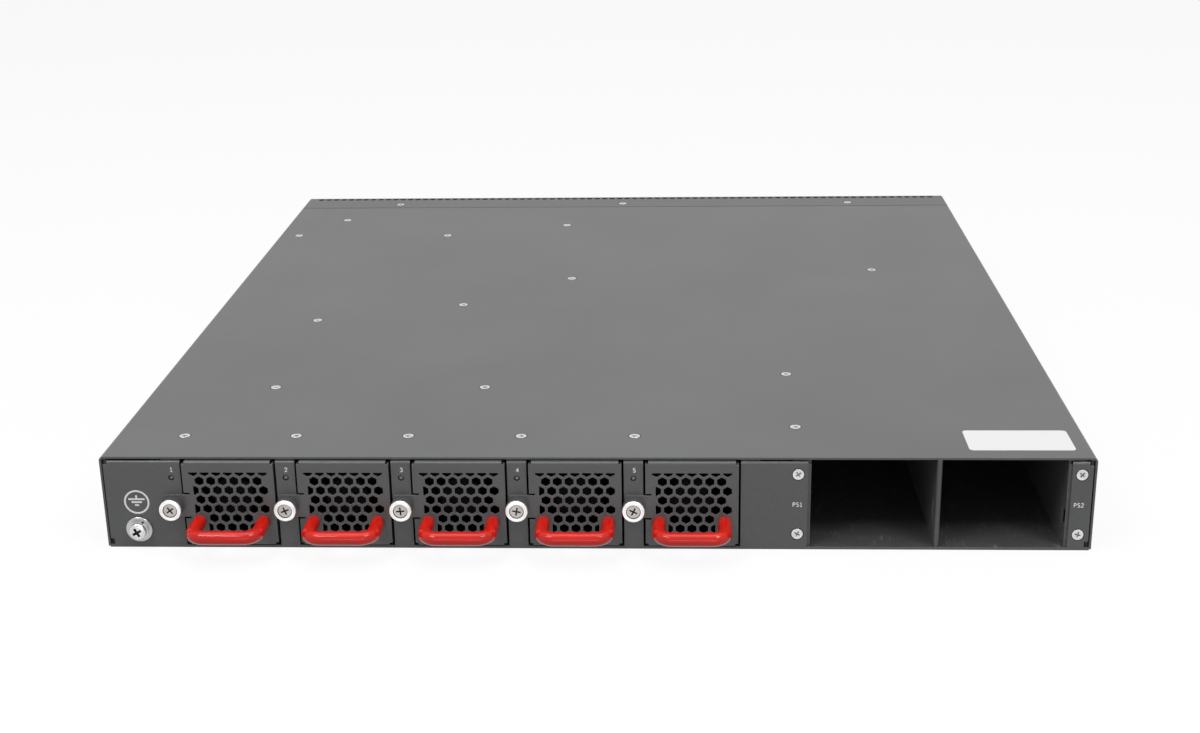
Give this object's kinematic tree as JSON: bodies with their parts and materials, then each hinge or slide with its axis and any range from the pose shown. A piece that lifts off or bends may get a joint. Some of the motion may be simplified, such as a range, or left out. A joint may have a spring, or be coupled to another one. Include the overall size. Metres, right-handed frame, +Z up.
{
  "type": "ethernet router",
  "caption": "Low rack-mount router case with pull-out honeycomb fan modules on red handles, open power supply bays beside them, and port cages at the hidden front.",
  "frame": {"origin": "centre of the case's underside, on the surface it stands on", "axes": "+Z up, the fan side faces -Y, the port side faces +Y, +X to the right seen from the fan side"},
  "size_m": [0.44, 0.4941, 0.0436],
  "materials": {
    "grey_coat": "fine-texture powder coat",
    "zinc_steel": "zinc plated",
    "bright_steel": "bright plated",
    "black_plastic": "moulded",
    "circuit_board": "satin",
    "sink_aluminium": "satin",
    "cage_steel": "tin plated",
    "light_pipe": "clear",
    "red_dip": "dipped"
  },
  "bodies": {
    "chassis": {"base_tray": "grey_coat", "top_cover": "grey_coat", "front_panel": "grey_coat", "fan_dividers": "grey_coat", "psu_left_wall": "grey_coat", "psu_right_wall": "grey_coat", "psu_divider": "grey_coat", "front_brace": "zinc_steel", "board_standoffs": "zinc_steel", "cover_posts": "zinc_steel", "ground_washer": "bright_steel", "ground_spring_washer": "bright_steel", "ground_screw": "bright_steel", "fan_sockets": "black_plastic", "psu_sockets": "black_plastic", "chips": "black_plastic", "management_jack": "black_plastic", "console_jack": "black_plastic", "fan_board": "circuit_board", "power_board": "circuit_board", "main_board": "circuit_board", "memory_module": "circuit_board", "switch_heat_sink": "sink_aluminium", "processor_heat_sink": "sink_aluminium", "sfp_cages": "cage_steel", "qsfp_cages": "cage_steel", "fan_lights": "light_pipe"},
    "fan_module_1": {"fan_1_tray": "grey_coat", "fan_1_handle": "red_dip", "fan_1_frame": "black_plastic", "fan_1_plug": "black_plastic"},
    "fan_rotor_1": {"fan_1_rotor": "black_plastic"},
    "fan_screw_1": {"fan_1_screw": "bright_steel"},
    "fan_module_2": {"fan_2_tray": "grey_coat", "fan_2_handle": "red_dip", "fan_2_frame": "black_plastic", "fan_2_plug": "black_plastic"},
    "fan_rotor_2": {"fan_2_rotor": "black_plastic"},
    "fan_screw_2": {"fan_2_screw": "bright_steel"},
    "fan_module_3": {"fan_3_tray": "grey_coat", "fan_3_handle": "red_dip", "fan_3_frame": "black_plastic", "fan_3_plug": "black_plastic"},
    "fan_rotor_3": {"fan_3_rotor": "black_plastic"},
    "fan_screw_3": {"fan_3_screw": "bright_steel"},
    "fan_module_4": {"fan_4_tray": "grey_coat", "fan_4_handle": "red_dip", "fan_4_frame": "black_plastic", "fan_4_plug": "black_plastic"},
    "fan_rotor_4": {"fan_4_rotor": "black_plastic"},
    "fan_screw_4": {"fan_4_screw": "bright_steel"},
    "fan_module_5": {"fan_5_tray": "grey_coat", "fan_5_handle": "red_dip", "fan_5_frame": "black_plastic", "fan_5_plug": "black_plastic"},
    "fan_rotor_5": {"fan_5_rotor": "black_plastic"},
    "fan_screw_5": {"fan_5_screw": "bright_steel"}
  },
  "joints": [
    {"name": "fan_slide_1", "type": "slide", "parent": "chassis", "child": "fan_module_1", "axis": [0, -1, 0], "range_m": [0, 0.08]},
    {"name": "rotor_spin_1", "type": "hinge", "parent": "fan_module_1", "child": "fan_rotor_1", "pos_m": [-0.1621, -0.2365, 0.0219], "axis": [0, -1, 0], "continuous": true},
    {"name": "thumbscrew_turn_1", "type": "hinge", "parent": "fan_module_1", "child": "fan_screw_1", "pos_m": [-0.18785, -0.2365, 0.0208], "axis": [0, -1, 0], "continuous": true},
    {"name": "fan_slide_2", "type": "slide", "parent": "chassis", "child": "fan_module_2", "axis": [0, -1, 0], "range_m": [0, 0.08]},
    {"name": "rotor_spin_2", "type": "hinge", "parent": "fan_module_2", "child": "fan_rotor_2", "pos_m": [-0.1106, -0.2365, 0.0219], "axis": [0, -1, 0], "continuous": true},
    {"name": "thumbscrew_turn_2", "type": "hinge", "parent": "fan_module_2", "child": "fan_screw_2", "pos_m": [-0.13635, -0.2365, 0.0208], "axis": [0, -1, 0], "continuous": true},
    {"name": "fan_slide_3", "type": "slide", "parent": "chassis", "child": "fan_module_3", "axis": [0, -1, 0], "range_m": [0, 0.08]},
    {"name": "rotor_spin_3", "type": "hinge", "parent": "fan_module_3", "child": "fan_rotor_3", "pos_m": [-0.0591, -0.2365, 0.0219], "axis": [0, -1, 0], "continuous": true},
    {"name": "thumbscrew_turn_3", "type": "hinge", "parent": "fan_module_3", "child": "fan_screw_3", "pos_m": [-0.08485, -0.2365, 0.0208], "axis": [0, -1, 0], "continuous": true},
    {"name": "fan_slide_4", "type": "slide", "parent": "chassis", "child": "fan_module_4", "axis": [0, -1, 0], "range_m": [0, 0.08]},
    {"name": "rotor_spin_4", "type": "hinge", "parent": "fan_module_4", "child": "fan_rotor_4", "pos_m": [-0.0076, -0.2365, 0.0219], "axis": [0, -1, 0], "continuous": true},
    {"name": "thumbscrew_turn_4", "type": "hinge", "parent": "fan_module_4", "child": "fan_screw_4", "pos_m": [-0.03335, -0.2365, 0.0208], "axis": [0, -1, 0], "continuous": true},
    {"name": "fan_slide_5", "type": "slide", "parent": "chassis", "child": "fan_module_5", "axis": [0, -1, 0], "range_m": [0, 0.08]},
    {"name": "rotor_spin_5", "type": "hinge", "parent": "fan_module_5", "child": "fan_rotor_5", "pos_m": [0.0439, -0.2365, 0.0219], "axis": [0, -1, 0], "continuous": true},
    {"name": "thumbscrew_turn_5", "type": "hinge", "parent": "fan_module_5", "child": "fan_screw_5", "pos_m": [0.01815, -0.2365, 0.0208], "axis": [0, -1, 0], "continuous": true}
  ]
}
